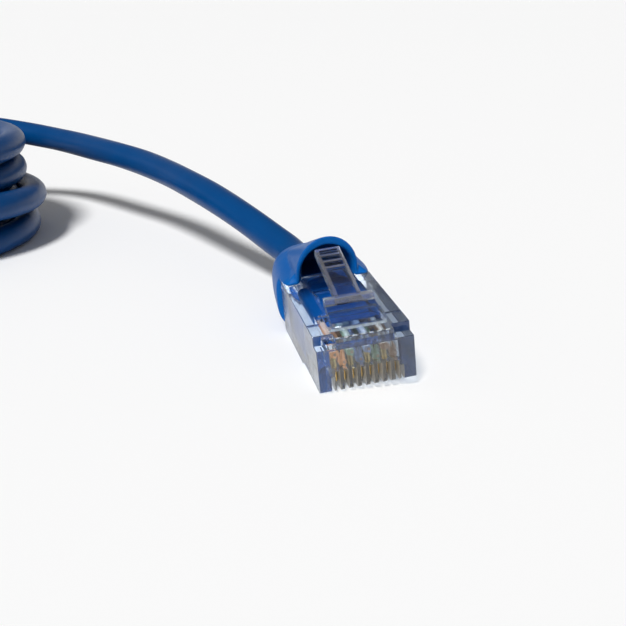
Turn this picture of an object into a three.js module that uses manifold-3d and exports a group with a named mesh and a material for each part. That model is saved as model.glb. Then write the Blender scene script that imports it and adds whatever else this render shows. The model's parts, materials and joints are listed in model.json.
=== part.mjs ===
// Ethernet patch cable: a clear eight-way modular plug with a soft boot on each end of a
// round four-pair cable. One plug lies on the table with its latch up, the cable rises
// behind it and joins a neat coil, and the second plug lies beside the coil.
// Millimetres, +Z up. Each plug is drawn in its own frame: origin at the middle of the
// nose's lower front edge, +X out of the mating end, +Y to the plug's left, latch on +Z.

import * as THREE from 'three';
import { mergeVertices } from 'three/addons/utils/BufferGeometryUtils.js';
import Module from 'manifold-3d';

// ---------------------------------------------------------------- driving dimensions

// Housing of the modular plug
const HOUSING_WIDTH = 11.68;
const HOUSING_LENGTH = 21.46;
const HOUSING_HEIGHT = 6.7;        // nose, bottom to top face
const HEEL_DEPTH = 0.5;            // the rear body reaches this far below the nose
const HEEL_START = 9.4;            // from the nose back to where the deeper body begins
const HEEL_RAMP = 0.8;
const NOSE_RADIUS = 0.6;
const LEDGE_DEPTH = 1.6;           // steps in the two top front corners
const LEDGE_DROP = 1.2;
const LATCH_BLOCK_WIDTH = 7.0;     // block between the steps that carries the latch
const LATCH_BLOCK_LENGTH = 3.0;
const POCKET_LENGTH = 3.6;         // recess behind that block for the latch's foot
const POCKET_DEPTH = 1.3;
const WINDOW_START = 12.6;         // window of the clamp bar, from the nose
const WINDOW_LENGTH = 3.4;
const WINDOW_WIDTH = 5.4;
const BAR_ROOT = 0.9;              // thickness of the clamp bar where it joins the window
const BAR_SINK = 0.3;              // its free end below the top face
const BAR_SLOPE = 1.2;

// Cable and wires
const CABLE_DIAMETER = 4.7;
const CABLE_HEIGHT = 3.1;          // cable axis above the nose's lower face
const JACKET_START = 11.0;         // from the nose to the cut end of the jacket
const BORE_WIDTH = 8.4;
const BORE_HEIGHT = 5.3;
const BORE_RADIUS = 1.8;
const BORE_START = 8.0;
const WIRE_DIAMETER = 0.92;
const WIRE_FRONT = 1.8;            // from the nose to the wires' ends
const LOWER_ROW = 3.15;            // wire axes above the nose's lower face
const UPPER_ROW = 4.25;
const BUNDLE_PITCH = 1.0;          // the same wires where they enter the jacket
const BUNDLE_LENGTH = 0.4;         // straight end of each wire in that bundle
const WIRE_SIDE_GAP = 0.17;        // beside the outermost wires

// Contacts and their comb
const CONTACT_COUNT = 8;
const CONTACT_PITCH = 1.02;
const CONTACT_THICKNESS = 0.32;
const CONTACT_LENGTH = 5.0;
const CONTACT_FRONT = 1.3;
const CONTACT_BOTTOM = 0.45;       // crown of the blade above the nose's lower face
const CROWN_RADIUS = 0.7;
const TOOTH_LENGTH = 0.75;         // below the lower wires
const BITE_GAP = 0.03;             // between a tooth and its wire
const SLOT_WIDTH = 0.56;
const SLOT_LENGTH = 6.8;
const COMB_RIM = 0.15;             // plastic outside the outermost slots
const NOTCH_WIDTH = 0.4;           // gap between the comb and each side wall
const NOTCH_DEPTH = 5.0;
const NOTCH_HEIGHT = 2.0;
const GUIDE_LENGTH = 1.1;          // wire guide behind the contacts
const GUIDE_START = 6.7;
const GUIDE_MARGIN = 0.35;         // plastic above and below the guide's holes
const HOLE_GAP = 0.05;             // round a wire in the guide

// Latch
const TONGUE_WIDTH = 6.1;
const FOOT_LENGTH = 1.2;           // foot of the tongue in its pocket
const FOOT_RISE = 0.6;             // its lower face above the pocket's floor
const FOOT_CHAMFER = 0.35;
const LEVER_WIDTH = 3.3;
const LEVER_THICKNESS = 0.85;
const SHOULDER_X = 7.4;            // locking shoulder, from the nose
const SHOULDER_RISE = 2.1;         // its top above the housing
const SHOULDER_THICKNESS = 1.15;
const SHOULDER_LENGTH = 0.95;
const SHOULDER_LIP = 0.1;
const LEVER_TIP = 17.2;
const LEVER_RISE = 4.75;           // top of the lever's tip above the housing
const RAIL_WIDTH = 0.45;
const RAIL_HEIGHT = 0.25;
const LEVER_RIBS = 4;
const RIB_PITCH = 1.35;
const RIB_LENGTH = 0.4;

// Boot and its hood
const BOOT_START = 18.5;           // from the nose to the boot's front edge
const BOOT_LENGTH = 14.9;
const BOOT_UNDER = 1.5;            // below the nose's lower face
const BOOT_OVER = 1.4;             // above the housing's top face
const BOOT_HALF_WIDTH = 6.5;
const BOOT_EDGE = 0.4;             // length of its rounded front edge
const BOOT_SIDES = 40;
const BOOT_FORM = [                // back from its front: half width, bottom, top, squareness
  [0, 6.2, -1.1, 7.7, 4.5],
  [BOOT_EDGE, BOOT_HALF_WIDTH, -BOOT_UNDER, HOUSING_HEIGHT + BOOT_OVER, 4.2],
  [3.4, BOOT_HALF_WIDTH, -BOOT_UNDER, HOUSING_HEIGHT + BOOT_OVER, 4],
  [5.5, 6.3, -BOOT_UNDER, HOUSING_HEIGHT + BOOT_OVER, 3.6],
  [9.5, 5.95, -1.3, HOUSING_HEIGHT + BOOT_OVER, 3],
  [11.1, 5.6, -1.1, 8.0, 2.7],
  [12.5, 4.9, -0.9, 7.6, 2.4],
  [13.7, 4.1, -0.65, 7.0, 2.1],
  [BOOT_LENGTH, 3.2, -0.1, 6.3, 2],
];
const HOOD_WIDTH = 8.2;
const HOOD_HEIGHT = 6.6;           // top of the hood above the housing
const HOOD_WALL = 0.65;
const HOOD_FRONT = 17.0;           // from the nose to the hood's front edge
const HOOD_LENGTH = 12.8;
const HOOD_BACK_WALL = 1.1;
const HOOD_OUTSIDE = 0.75;         // arch exponents: less is squarer
const HOOD_INSIDE = 0.5;
const CHEEK_WALL = 0.6;            // fixed side walls under the hood
const CHEEK_HEIGHT = 1.9;
const CHEEK_FLARE = 1.3;           // their feet spread outwards
const CHEEK_BACK = 25.5;
const CHEEK_BACK_HEIGHT = 0.6;
const HOOD_HINGE_INSET = 0.6;      // the hood's hinge, from its back end
const HOOD_HINGE_RISE = 0.5;       // and above the boot's top
const PRESS_ANGLE = 14;            // degrees that the hood turns when it is pressed

// How the first plug lies, and the cable's way
const PLUG_ROLL = 6.3;
const PLUG_PITCH = 3.5;
const CLEARANCE = 0.3;             // gap between pieces that meet
const SLIP = 0.12;                 // gap round small pieces inside the housing
const THROUGH = 1;                 // how far a cut passes the face that it opens
const SINK = 0.1;                  // how far shapes that join reach into each other
const COIL_TURNS = 7.25;
const COIL_LAYERS = 4;
const COIL_DIAMETER = 56.4;        // at the middle of its turns
const TURN_GAP = 0.15;
const LAYER_GAP = 0.45;
const COIL_CENTRE = [-90.3, -73.0];
const COIL_JOIN_ANGLE = 167.6;     // where the cable comes onto the top turn
const TAIL_STRAIGHT = 6;
const TAIL_RUN = 22;               // from the coil to the second plug's boot

// Way of the free cable behind the first plug: x, y, z above the table
const LEAD_ROUTE = [
  [-40.7, -1.4, 6.7], [-44.2, -3.3, 7.9], [-48.6, -5.7, 9.4], [-53.8, -8.3, 10.8],
  [-60.0, -11.1, 12.0], [-66.7, -13.8, 12.8], [-74.2, -16.6, 13.4], [-82.7, -20.4, 14.0],
  [-90.3, -24.7, 14.5], [-98.2, -29.1, 14.7], [-106.0, -33.6, 14.9], [-112.5, -38.4, 15.2],
  [-116.7, -43.8, 15.8], [-118.8, -50.0, 16.7],
];

// Sides of the round pieces
const WIRE_SIDES = 8;
const CORD_SIDES = 8;
const COIL_SIDES = 6;
const COIL_STEPS = 24;             // per turn
const ROUND_SIDES = 32;
const WIRE_STEPS = 14;
const LEAD_STEPS = 14;
const TAIL_STEPS = 5;
const HOLE_SIDES = 12;
const JACKET_SIDES = 24;

// ---------------------------------------------------------------- materials

function plastic(colour, roughness, extra = {}) {
  return new THREE.MeshStandardMaterial({ color: colour, roughness, metalness: 0, ...extra });
}

const CLEAR = plastic(0xdfe6ee, 0.08, { transparent: true, opacity: 0.35 });
const BOOT_BLUE = plastic(0x0a5db0, 0.45);
const JACKET_BLUE = plastic(0x0b4691, 0.38);
const GOLD = new THREE.MeshStandardMaterial({ color: 0xd8a848, roughness: 0.25, metalness: 1 });
const WIRE_COLOURS = [0xf2a36b, 0xe0701c, 0xbfdcb4, 0x1f58b8, 0xaac6ea, 0x2c8a45, 0xcdb49c, 0x6d4527];

// ---------------------------------------------------------------- geometry tools

const radians = THREE.MathUtils.degToRad;

const wasm = await Module();
wasm.setup();

function solid(geometry) {
  const bare = geometry.clone();
  bare.deleteAttribute('normal');
  bare.deleteAttribute('uv');
  const merged = mergeVertices(bare, 1e-5);
  return new wasm.Manifold(new wasm.Mesh({
    numProp: 3,
    vertProperties: new Float32Array(merged.attributes.position.array),
    triVerts: new Uint32Array(merged.index.array),
  }));
}

function geometryOf(body) {
  const mesh = body.getMesh();
  const geometry = new THREE.BufferGeometry();
  geometry.setAttribute('position', new THREE.BufferAttribute(mesh.vertProperties, 3));
  geometry.setIndex(new THREE.BufferAttribute(mesh.triVerts, 1));
  geometry.computeVertexNormals();
  return geometry;
}

// A block given by its span along x, its width about y, and its span in height.
function block(xBack, xFront, width, zLow, zHigh, y = 0) {
  const geometry = new THREE.BoxGeometry(xFront - xBack, width, zHigh - zLow);
  geometry.translate((xBack + xFront) / 2, y, (zLow + zHigh) / 2);
  return solid(geometry);
}

// A side view drawn in x and z, given a width across y.
function sideProfile(shape, width, y = 0) {
  const geometry = new THREE.ExtrudeGeometry(shape, {
    depth: width, bevelEnabled: false, curveSegments: 4,
  });
  geometry.rotateX(Math.PI / 2);
  geometry.translate(0, y + width / 2, 0);
  return geometry;
}

function polygon(points) {
  return new THREE.Shape(points.map(([x, z]) => new THREE.Vector2(x, z)));
}

// A skin through closed rings of points, with flat caps on both ends.
function loft(rings) {
  const count = rings[0].length;
  const positions = rings.flat().flatMap((p) => [p.x, p.y, p.z]);
  const index = [];
  for (let r = 0; r < rings.length - 1; r += 1) {
    for (let k = 0; k < count; k += 1) {
      const a = r * count + k;
      const b = r * count + ((k + 1) % count);
      index.push(a, b, b + count, a, b + count, a + count);
    }
  }
  const last = (rings.length - 1) * count;
  for (let k = 1; k < count - 1; k += 1) {
    index.push(0, k + 1, k);
    index.push(last, last + k, last + k + 1);
  }
  const geometry = new THREE.BufferGeometry();
  geometry.setAttribute('position', new THREE.Float32BufferAttribute(positions, 3));
  geometry.setIndex(index);
  geometry.computeVertexNormals();
  return geometry;
}

// A ring across x: a rectangle with round corners. It runs so that a loft whose rings
// go towards -x faces outwards.
function roundedRing(x, width, zLow, zHigh, radius) {
  const r = Math.min(radius, width / 2, (zHigh - zLow) / 2);
  const ring = [];
  for (let k = 0; k < ROUND_SIDES; k += 1) {
    const angle = -((k + 0.5) / ROUND_SIDES) * Math.PI * 2;
    const side = Math.sign(Math.cos(angle));
    const rise = Math.sign(Math.sin(angle));
    ring.push(new THREE.Vector3(
      x,
      side * (width / 2 - r) + r * Math.cos(angle),
      (zLow + zHigh) / 2 + rise * ((zHigh - zLow) / 2 - r) + r * Math.sin(angle),
    ));
  }
  return ring;
}

function roundShape(diameter, sides) {
  const points = [];
  for (let k = 0; k < sides; k += 1) {
    const angle = ((k + 0.5) / sides) * Math.PI * 2;
    points.push(new THREE.Vector2(Math.cos(angle), Math.sin(angle)).multiplyScalar(diameter / 2));
  }
  return new THREE.Shape(points);
}

function tubeAlong(points, diameter, sides, steps) {
  return new THREE.ExtrudeGeometry(roundShape(diameter, sides), {
    steps,
    bevelEnabled: false,
    extrudePath: new THREE.CatmullRomCurve3(points, false, 'centripetal'),
  });
}

function piece(name, geometry, material) {
  const mesh = new THREE.Mesh(geometry, material);
  mesh.name = name;
  return mesh;
}

// ---------------------------------------------------------------- plug pieces

const contactY = (i) => (i - (CONTACT_COUNT - 1) / 2) * CONTACT_PITCH;
const inUpperRow = (i) => i % 2 === 0;
const rowHeight = (i) => (inUpperRow(i) ? UPPER_ROW : LOWER_ROW);
const hingeOfHood = {
  x: -(HOOD_FRONT + HOOD_LENGTH - HOOD_HINGE_INSET),
  z: HOUSING_HEIGHT + BOOT_OVER + HOOD_HINGE_RISE,
};
const wiresWidth = (CONTACT_COUNT - 1) * CONTACT_PITCH + WIRE_DIAMETER + 2 * WIRE_SIDE_GAP;

function housingOutline() {
  const shape = new THREE.Shape();
  shape.moveTo(-HOUSING_LENGTH, -HEEL_DEPTH);
  shape.lineTo(-HEEL_START - HEEL_RAMP, -HEEL_DEPTH);
  shape.lineTo(-HEEL_START, 0);
  shape.lineTo(-NOSE_RADIUS, 0);
  shape.absarc(-NOSE_RADIUS, NOSE_RADIUS, NOSE_RADIUS, -Math.PI / 2, 0, false);
  shape.lineTo(0, HOUSING_HEIGHT);
  shape.lineTo(-HOUSING_LENGTH, HOUSING_HEIGHT);
  return shape;
}

// The clear shell: a comb of slots under the nose, a wide cavity for the wires, a bore for
// the jacket, and a bar in the window of the top wall that holds the jacket down.
function housing() {
  const combWidth = (CONTACT_COUNT - 1) * CONTACT_PITCH + SLOT_WIDTH + 2 * COMB_RIM;
  const wireRoof = UPPER_ROW + WIRE_DIAMETER / 2 + SLIP;
  const wireFloor = LOWER_ROW - WIRE_DIAMETER / 2 - SLIP;
  const top = HOUSING_HEIGHT;
  let body = solid(sideProfile(housingOutline(), HOUSING_WIDTH));

  const ledgeWidth = (HOUSING_WIDTH - LATCH_BLOCK_WIDTH) / 2;
  for (const side of [-1, 1]) {
    const ledgeY = side * (LATCH_BLOCK_WIDTH / 2 + ledgeWidth);
    body = body.subtract(block(
      -LEDGE_DEPTH, THROUGH, ledgeWidth * 2, top - LEDGE_DROP, top + THROUGH, ledgeY));
    const notchY = side * (combWidth + NOTCH_WIDTH) / 2;
    body = body.subtract(block(
      -NOTCH_DEPTH, THROUGH, NOTCH_WIDTH, -THROUGH, NOTCH_HEIGHT, notchY));
  }

  const pocketBack = -(LATCH_BLOCK_LENGTH + POCKET_LENGTH);
  body = body.subtract(block(
    pocketBack, -LATCH_BLOCK_LENGTH, LATCH_BLOCK_WIDTH, top - POCKET_DEPTH, top + THROUGH));

  const boreLow = CABLE_HEIGHT - BORE_HEIGHT / 2;
  const boreHigh = CABLE_HEIGHT + BORE_HEIGHT / 2;
  body = body.subtract(solid(loft([
    roundedRing(-BORE_START, BORE_WIDTH, boreLow, boreHigh, BORE_RADIUS),
    roundedRing(-HOUSING_LENGTH - THROUGH, BORE_WIDTH, boreLow, boreHigh, BORE_RADIUS),
  ])));
  const wiresBack = -BORE_START - THROUGH / 2;
  body = body.subtract(
    block(wiresBack, -WIRE_FRONT + SLIP, wiresWidth, wireFloor, wireRoof));
  body = body.subtract(block(
    wiresBack, -GUIDE_START + SLIP, wiresWidth, wireFloor - GUIDE_MARGIN, wireRoof + GUIDE_MARGIN));
  for (let i = 0; i < CONTACT_COUNT; i += 1) {
    body = body.subtract(
      block(-SLOT_LENGTH, THROUGH, SLOT_WIDTH, -THROUGH, wireFloor + SLIP, contactY(i)));
  }

  const windowBack = -(WINDOW_START + WINDOW_LENGTH);
  body = body.subtract(
    block(windowBack, -WINDOW_START, WINDOW_WIDTH, CABLE_HEIGHT, top + THROUGH));
  const barLow = CABLE_HEIGHT + CABLE_DIAMETER / 2 + SLIP;
  const bar = sideProfile(polygon([
    [-WINDOW_START + SINK, top - BAR_ROOT], [-WINDOW_START + SINK, top],
    [windowBack + CLEARANCE, top - BAR_SINK], [windowBack + CLEARANCE, barLow],
    [-WINDOW_START - BAR_SLOPE, barLow],
  ]), WINDOW_WIDTH - 2 * CLEARANCE);
  return geometryOf(body.add(solid(bar)));
}

// One springy arm: a wide tongue from the nose up to the locking shoulder, then a narrow
// lever with a rail along each edge and ribs across its end.
function latch() {
  const top = HOUSING_HEIGHT;
  const footFront = -(LATCH_BLOCK_LENGTH + CLEARANCE);
  const footBack = footFront - FOOT_LENGTH;
  const footUnder = top - POCKET_DEPTH + FOOT_RISE;
  const shoulderTop = top + SHOULDER_RISE;
  const tongueUnder = shoulderTop - LEVER_THICKNESS;
  const tipTop = top + LEVER_RISE;
  const tongue = sideProfile(polygon([
    [footFront, footUnder],
    [footFront, top],
    [-SHOULDER_X, shoulderTop],
    [-SHOULDER_X, tongueUnder],
    [footBack, footUnder + FOOT_CHAMFER],
    [footBack + FOOT_CHAMFER, footUnder],
  ]), TONGUE_WIDTH);
  const shoulder = block(
    -SHOULDER_X - SINK, -SHOULDER_X + SHOULDER_LENGTH, TONGUE_WIDTH,
    shoulderTop - SHOULDER_THICKNESS, shoulderTop + SHOULDER_LIP);

  const lean = Math.atan2(tipTop - shoulderTop, LEVER_TIP - SHOULDER_X);
  const alongLever = (distance, height) => [
    -SHOULDER_X - distance * Math.cos(lean) + height * Math.sin(lean),
    shoulderTop + distance * Math.sin(lean) + height * Math.cos(lean),
  ];
  const leverLength = Math.hypot(tipTop - shoulderTop, LEVER_TIP - SHOULDER_X);
  const stretch = (from, to, low, high) => polygon([
    alongLever(from, low), alongLever(to, low), alongLever(to, high), alongLever(from, high),
  ]);
  let body = solid(tongue).add(shoulder);
  body = body.add(solid(sideProfile(
    stretch(-SHOULDER_LENGTH / 2, leverLength, -LEVER_THICKNESS, 0), LEVER_WIDTH)));
  for (const side of [-1, 1]) {
    const railY = side * (LEVER_WIDTH - RAIL_WIDTH) / 2;
    body = body.add(solid(sideProfile(
      stretch(0, leverLength, -SINK, RAIL_HEIGHT), RAIL_WIDTH, railY)));
  }
  for (let k = 0; k < LEVER_RIBS; k += 1) {
    const from = leverLength - k * RIB_PITCH;
    body = body.add(solid(sideProfile(
      stretch(from - RIB_LENGTH, from, -SINK, RAIL_HEIGHT), LEVER_WIDTH - SINK)));
  }
  return geometryOf(body);
}

// A stamped blade on edge: a rounded crown below, two teeth that bite the wire above.
function contact(i) {
  const back = -(CONTACT_FRONT + CONTACT_LENGTH);
  const front = -CONTACT_FRONT;
  const toothTop = rowHeight(i) - WIRE_DIAMETER / 2 - BITE_GAP;
  const toothFoot = LOWER_ROW - WIRE_DIAMETER / 2 - TOOTH_LENGTH;
  const tooth = CONTACT_LENGTH / 5;
  const crown = CROWN_RADIUS;
  const shape = new THREE.Shape();
  shape.moveTo(back, CONTACT_BOTTOM + crown);
  shape.lineTo(back + crown, CONTACT_BOTTOM);
  shape.lineTo(front - crown, CONTACT_BOTTOM);
  shape.absarc(front - crown, CONTACT_BOTTOM + crown, crown, -Math.PI / 2, 0, false);
  shape.lineTo(front, toothFoot);
  for (const start of [front - tooth, front - 3 * tooth]) {
    shape.lineTo(start, toothFoot);
    shape.lineTo(start - tooth / 3, toothTop);
    shape.lineTo(start - tooth * 2 / 3, toothTop);
    shape.lineTo(start - tooth, toothFoot);
  }
  shape.lineTo(back, toothFoot);
  return sideProfile(shape, CONTACT_THICKNESS, contactY(i));
}

// An insulated wire: straight over its contact and through the guide, then drawn in
// towards its place in the cable's bundle.
function wire(i) {
  const place = Math.floor(i / 2) - 1.5;
  const bundleY = place * BUNDLE_PITCH;
  const bundleZ = CABLE_HEIGHT + (inUpperRow(i) ? 0.5 : -0.5) * BUNDLE_PITCH;
  const guideBack = GUIDE_START + GUIDE_LENGTH;
  const end = JACKET_START - CLEARANCE;
  const points = [
    new THREE.Vector3(-WIRE_FRONT, contactY(i), rowHeight(i)),
    new THREE.Vector3(-GUIDE_START / 2, contactY(i), rowHeight(i)),
    new THREE.Vector3(-GUIDE_START, contactY(i), rowHeight(i)),
    new THREE.Vector3(-guideBack, contactY(i), rowHeight(i)),
    new THREE.Vector3(-end + BUNDLE_LENGTH, bundleY, bundleZ),
    new THREE.Vector3(-end, bundleY, bundleZ),
  ];
  return tubeAlong(points, WIRE_DIAMETER, WIRE_SIDES, WIRE_STEPS);
}

function wireGuide() {
  const low = LOWER_ROW - WIRE_DIAMETER / 2 - GUIDE_MARGIN;
  const high = UPPER_ROW + WIRE_DIAMETER / 2 + GUIDE_MARGIN;
  let body = block(
    -(GUIDE_START + GUIDE_LENGTH), -GUIDE_START, wiresWidth - 2 * SLIP, low, high);
  for (let i = 0; i < CONTACT_COUNT; i += 1) {
    const hole = new THREE.CylinderGeometry(
      WIRE_DIAMETER / 2 + HOLE_GAP, WIRE_DIAMETER / 2 + HOLE_GAP, GUIDE_LENGTH * 4, HOLE_SIDES);
    hole.rotateZ(Math.PI / 2);
    hole.translate(-GUIDE_START, contactY(i), rowHeight(i));
    body = body.subtract(solid(hole));
  }
  return geometryOf(body);
}

// The cable inside the plug and the boot, from its cut end to the boot's tail.
function jacketEnd() {
  const length = BOOT_START + BOOT_LENGTH - JACKET_START;
  const geometry = new THREE.CylinderGeometry(
    CABLE_DIAMETER / 2, CABLE_DIAMETER / 2, length, JACKET_SIDES);
  geometry.rotateZ(Math.PI / 2);
  geometry.translate(-JACKET_START - length / 2, 0, CABLE_HEIGHT);
  return geometry;
}

// Cross-section of the hood: an arch whose sides come down straight.
function archRing(x, halfWidth, zLow, zHigh, exponent) {
  const ring = [];
  const half = ROUND_SIDES / 2;
  for (let k = 0; k <= half; k += 1) {
    const angle = (k / half) * Math.PI;
    const y = halfWidth * Math.sign(Math.cos(angle)) * Math.abs(Math.cos(angle)) ** 0.8;
    ring.push(new THREE.Vector3(x, -y, zLow + (zHigh - zLow) * Math.sin(angle) ** exponent));
  }
  return ring;
}

// Height of the hood's crown at a share of its length, front 0 to back 1.
function hoodCrown(share, low, high) {
  return low + (high - low) * (1 - share) ** 0.88;
}

function hoodBlank(halfWidth, low, high, front, length, exponent) {
  const rings = [];
  for (const share of [0, 0.2, 0.4, 0.6, 0.75, 0.88, 0.96]) {
    const narrowing = 1 - 0.3 * share ** 3;
    rings.push(archRing(
      -(front + length * share), halfWidth * narrowing, low, hoodCrown(share, low, high), exponent));
  }
  return solid(loft(rings));
}

// A ring across x: an ellipse at squareness 2, nearly a rectangle at 8.
function ovalRing(x, halfWidth, zLow, zHigh, squareness) {
  const ring = [];
  for (let k = 0; k < BOOT_SIDES; k += 1) {
    const angle = -((k + 0.5) / BOOT_SIDES) * Math.PI * 2;
    const [y, z] = [Math.cos(angle), Math.sin(angle)].map(
      (side) => Math.sign(side) * Math.abs(side) ** (2 / squareness));
    ring.push(new THREE.Vector3(x, halfWidth * y, (zLow + zHigh + (zHigh - zLow) * z) / 2));
  }
  return ring;
}

// The boot: two broad tongues grip the housing's heel from above and below, and behind it
// the boot draws in to a sleeve on the cable. Two low cheeks with spread feet stand under
// the hood.
function boot() {
  let body = solid(loft(BOOT_FORM.map(
    ([back, ...form]) => ovalRing(-BOOT_START - back, ...form))));
  const heel = block(
    -(HOUSING_LENGTH + CLEARANCE), THROUGH, 2 * (BOOT_HALF_WIDTH + THROUGH),
    -HEEL_DEPTH - CLEARANCE, HOUSING_HEIGHT + CLEARANCE);
  const bore = new THREE.CylinderGeometry(
    CABLE_DIAMETER / 2 + CLEARANCE, CABLE_DIAMETER / 2 + CLEARANCE,
    2 * (BOOT_START + BOOT_LENGTH), ROUND_SIDES);
  bore.rotateZ(Math.PI / 2);
  bore.translate(-BOOT_START - BOOT_LENGTH, 0, CABLE_HEIGHT);
  body = body.subtract(heel).subtract(solid(bore));

  const top = HOUSING_HEIGHT + BOOT_OVER;
  const foot = HOUSING_HEIGHT + CLEARANCE;
  const inside = HOOD_WIDTH / 2 - CHEEK_WALL;
  for (const side of [-1, 1]) {
    const corners = [];
    for (const [x, height] of [
      [-BOOT_START - BOOT_EDGE, CHEEK_HEIGHT], [-CHEEK_BACK, CHEEK_BACK_HEIGHT],
    ]) {
      corners.push([x, side * inside, foot], [x, side * (HOOD_WIDTH / 2 + CHEEK_FLARE), foot]);
      corners.push([x, side * HOOD_WIDTH / 2, top + height], [x, side * inside, top + height]);
    }
    body = body.add(wasm.Manifold.hull(corners));
  }
  return geometryOf(body);
}

// The hood over the latch's tip: an arched roof, open to the front, whose lower edge
// leaves the boot room when the hood is pressed.
function hood() {
  const low = HOUSING_HEIGHT + BOOT_OVER + CLEARANCE;
  const high = HOUSING_HEIGHT + HOOD_HEIGHT;
  const half = HOOD_WIDTH / 2 - CHEEK_WALL - CLEARANCE;
  const outer = hoodBlank(half, low, high, HOOD_FRONT, HOOD_LENGTH, HOOD_OUTSIDE);
  const inner = hoodBlank(
    half - HOOD_WALL, low - THROUGH, high - HOOD_WALL, HOOD_FRONT - THROUGH / 2,
    HOOD_LENGTH + THROUGH / 2 - HOOD_BACK_WALL, HOOD_INSIDE);
  const reach = -hingeOfHood.x - HOOD_FRONT + 2 * THROUGH;
  const slope = Math.tan(radians(PRESS_ANGLE + 1));
  const underBack = hingeOfHood.x - THROUGH / 2;
  const under = sideProfile(polygon([
    [underBack, low - 2 * THROUGH], [hingeOfHood.x + reach, low - 2 * THROUGH],
    [hingeOfHood.x + reach, low + slope * reach], [underBack, low],
  ]), HOOD_WIDTH);
  return geometryOf(outer.subtract(inner).subtract(solid(under)));
}

function plug(prefix) {
  const group = new THREE.Group();
  group.add(piece(`${prefix}_housing`, housing(), CLEAR));
  group.add(piece(`${prefix}_latch`, latch(), CLEAR));
  group.add(piece(`${prefix}_wire_guide`, wireGuide(), CLEAR));
  group.add(piece(`${prefix}_jacket_end`, jacketEnd(), JACKET_BLUE));
  group.add(piece(`${prefix}_boot`, boot(), BOOT_BLUE));
  group.add(piece(`${prefix}_hood`, hood(), BOOT_BLUE));
  for (let i = 0; i < CONTACT_COUNT; i += 1) {
    group.add(piece(`${prefix}_contact_${i + 1}`, contact(i), GOLD));
    group.add(piece(`${prefix}_wire_${i + 1}`, wire(i), plastic(WIRE_COLOURS[i], 0.5)));
  }
  return group;
}

// ---------------------------------------------------------------- cable

// The coil's centre line. It comes onto the top layer's outer turn and goes round
// anticlockwise, spiralling in and out at a steady rate. It drops a layer in the half
// turn where the spiral reverses.
function coilPoint(turn) {
  const perLayer = COIL_TURNS / COIL_LAYERS;
  const turnPitch = CABLE_DIAMETER + TURN_GAP;
  const layerPitch = CABLE_DIAMETER + LAYER_GAP;
  const layer = Math.min(Math.floor(turn / perLayer), COIL_LAYERS - 1);
  const along = turn - layer * perLayer;
  const inwards = layer % 2 === 0 ? along : perLayer - along;
  const radius = COIL_DIAMETER / 2 + turnPitch * (perLayer / 2 - inwards);
  let drop = 0;
  for (let k = 1; k < COIL_LAYERS; k += 1) {
    const share = THREE.MathUtils.clamp((turn - k * perLayer) / 0.5 + 0.5, 0, 1);
    drop += share * share * (3 - 2 * share);
  }
  const angle = radians(COIL_JOIN_ANGLE) + turn * Math.PI * 2;
  return new THREE.Vector3(
    COIL_CENTRE[0] + radius * Math.cos(angle),
    COIL_CENTRE[1] + radius * Math.sin(angle),
    CABLE_DIAMETER / 2 + (COIL_LAYERS - 1 - drop) * layerPitch,
  );
}

function coilHeading(turn) {
  const angle = radians(COIL_JOIN_ANGLE) + turn * Math.PI * 2 + Math.PI / 2;
  return new THREE.Vector3(Math.cos(angle), Math.sin(angle), 0);
}

function coilRoute() {
  const steps = Math.round(COIL_TURNS * COIL_STEPS);
  const route = [];
  for (let k = 0; k <= steps; k += 1) {
    route.push(coilPoint((k / steps) * COIL_TURNS));
  }
  route.unshift(route[0].clone().addScaledVector(coilHeading(0), -CABLE_DIAMETER));
  route.push(route[steps + 1].clone().addScaledVector(coilHeading(COIL_TURNS), CABLE_DIAMETER));
  return route;
}

function coilRings(route) {
  const up = new THREE.Vector3(0, 0, 1);
  return route.map((centre, k) => {
    let ahead = new THREE.Vector3().subVectors(
      route[Math.min(k + 1, route.length - 1)], route[Math.max(k - 1, 0)]).normalize();
    if (k <= 1) ahead = coilHeading(0);
    if (k >= route.length - 2) ahead = coilHeading(COIL_TURNS);
    const side = new THREE.Vector3().crossVectors(up, ahead).normalize();
    const rise = new THREE.Vector3().crossVectors(ahead, side);
    const ring = [];
    for (let n = 0; n < COIL_SIDES; n += 1) {
      const angle = ((n + 0.5) / COIL_SIDES) * Math.PI * 2;
      ring.push(centre.clone()
        .addScaledVector(side, (CABLE_DIAMETER / 2) * Math.cos(angle))
        .addScaledVector(rise, (CABLE_DIAMETER / 2) * Math.sin(angle)));
    }
    return ring;
  });
}

// Least distance between the skins of two turns, on the points of the tube's rings.
function leastGap(rings) {
  const apart = Math.round(COIL_STEPS / 2);
  let least = Infinity;
  for (let a = 0; a < rings.length; a += 1) {
    for (let b = a + apart; b < rings.length; b += 1) {
      for (const p of rings[a]) {
        for (const q of rings[b]) least = Math.min(least, p.distanceTo(q));
      }
    }
  }
  return least;
}

function coil() {
  const rings = coilRings(coilRoute());
  console.log(`coil: least gap to itself ${leastGap(rings).toFixed(2)} mm`);
  return loft(rings);
}

function lengthOf(points) {
  return points.slice(1).reduce((sum, p, k) => sum + p.distanceTo(points[k]), 0);
}

// ---------------------------------------------------------------- assembly

// The first plug lies on the lower edge of its nose and on its boot.
const plugA = plug('plug_a');
plugA.rotation.set(radians(PLUG_ROLL), radians(PLUG_PITCH), 0, 'ZYX');
plugA.updateMatrixWorld(true);
plugA.position.z = -new THREE.Box3().setFromObject(plugA, true).min.z;
plugA.updateMatrixWorld(true);

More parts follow.
